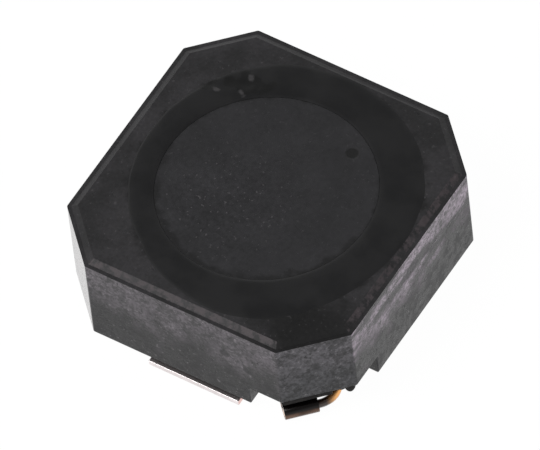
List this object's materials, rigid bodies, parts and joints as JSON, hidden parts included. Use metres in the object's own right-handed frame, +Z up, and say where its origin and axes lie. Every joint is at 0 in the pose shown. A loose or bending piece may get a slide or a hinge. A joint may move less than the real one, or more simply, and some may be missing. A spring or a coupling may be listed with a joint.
{
  "type": "shielded smd inductor",
  "caption": "Shielded power inductor for surface mounting: drum core and winding in an octagonal ferrite shield, with two flat terminals underneath.",
  "frame": {"origin": "centre of the footprint, on the plane of the two solder faces", "axes": "+Z up, out of the board through the top face; Y runs from one solder pad to the other, with terminal_front on the -Y side; the lead-out notches are at the (+X, -Y) and (-X, +Y) corners"},
  "size_m": [0.0104, 0.0104, 0.0039],
  "materials": {
    "ferrite_shield": "ground ferrite, dark grey, satin",
    "ferrite_drum": "sintered ferrite, fine grain, satin",
    "enamelled_copper": "clear enamel over copper, glossy",
    "resin": "black epoxy, smooth",
    "tinned_terminal": "matte tin plate",
    "glue": "dark epoxy",
    "solder": "solder, half bright"
  },
  "bodies": {
    "root": {"shield_core": "ferrite_shield", "drum_core": "ferrite_drum", "winding": "enamelled_copper", "gap_resin": "resin", "terminal_front": "tinned_terminal", "terminal_back": "tinned_terminal", "terminal_glue_front": "glue", "terminal_glue_back": "glue", "solder_front": "solder", "solder_back": "solder", "lead_glue_front": "glue", "lead_glue_back": "glue"}
  },
  "joints": []
}
